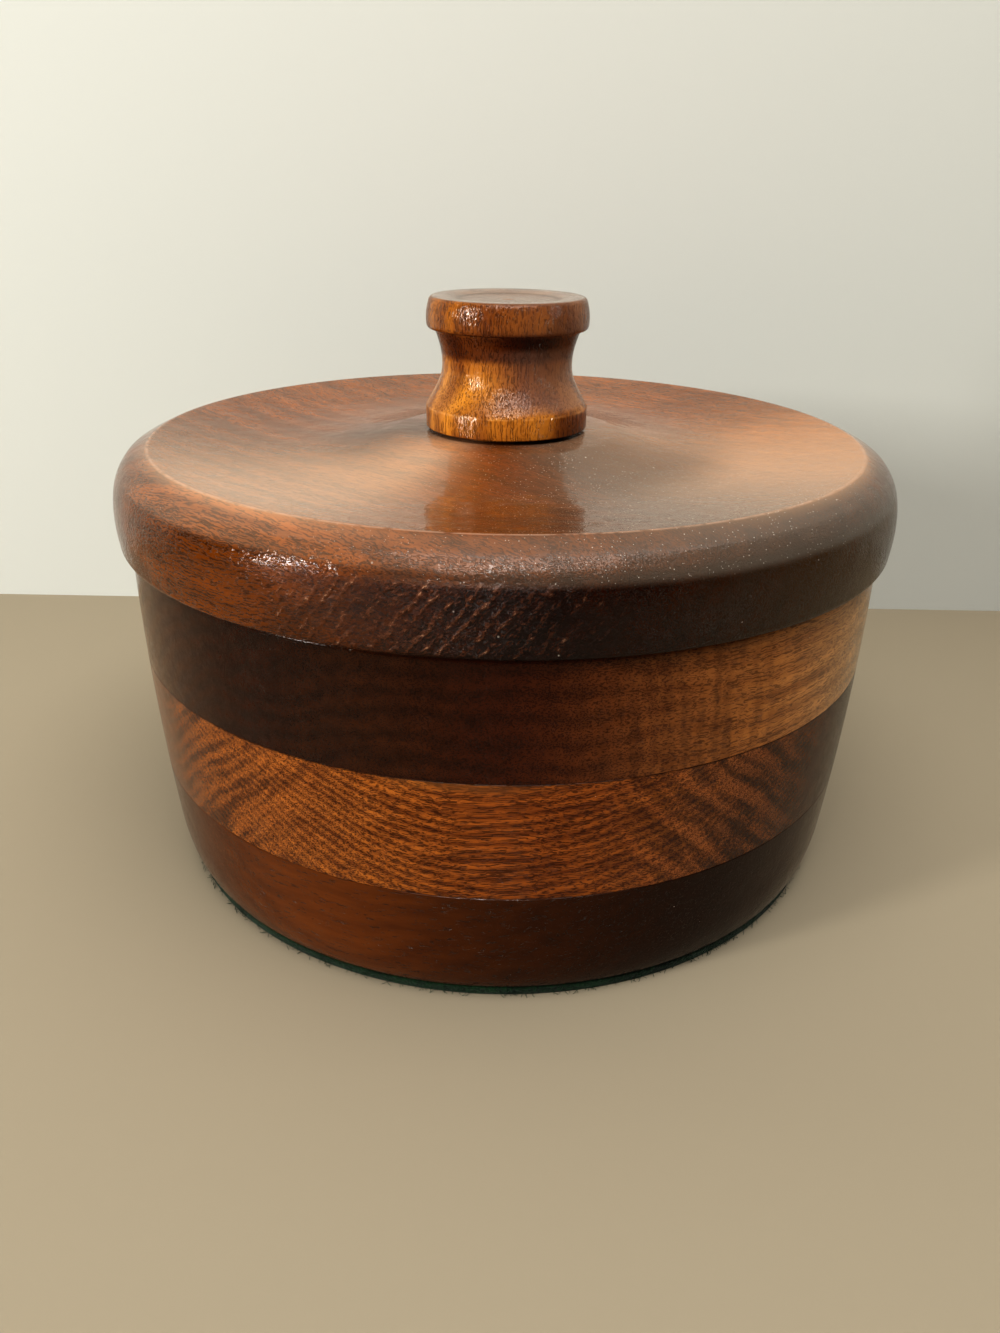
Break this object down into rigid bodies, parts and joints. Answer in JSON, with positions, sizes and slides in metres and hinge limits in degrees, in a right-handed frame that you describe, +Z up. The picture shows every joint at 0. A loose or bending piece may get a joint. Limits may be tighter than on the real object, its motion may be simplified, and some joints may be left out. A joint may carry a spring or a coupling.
{
  "type": "lidded wooden bowl",
  "caption": "Round turned wooden bowl of stacked boards with a gently tapering wall, a thick dished lid that lifts off by a waisted knob, and a felt pad under the foot.",
  "frame": {"origin": "on the floor, under the centre of the foot", "axes": "+Z up along the turning axis, through the knob; +X to the right and -Y towards the viewer of the picture"},
  "size_m": [0.2002, 0.2002, 0.1448],
  "materials": {
    "green_felt": "fuzzy felt",
    "bottom_wood": "satin varnish",
    "middle_wood": "satin varnish",
    "top_wood": "satin varnish",
    "lid_wood": "gloss varnish",
    "knob_wood": "gloss varnish",
    "screw_steel": "zinc plated"
  },
  "bodies": {
    "bowl": {"felt_pad": "green_felt", "bottom_board": "bottom_wood", "middle_ring": "middle_wood", "top_ring": "top_wood"},
    "lid": {"lid_plate": "lid_wood", "knob": "knob_wood", "knob_screw": "screw_steel"}
  },
  "joints": [
    {"name": "lid_lift", "type": "slide", "parent": "bowl", "child": "lid", "axis": [0, 0, 1], "range_m": [0, 0.12]}
  ]
}
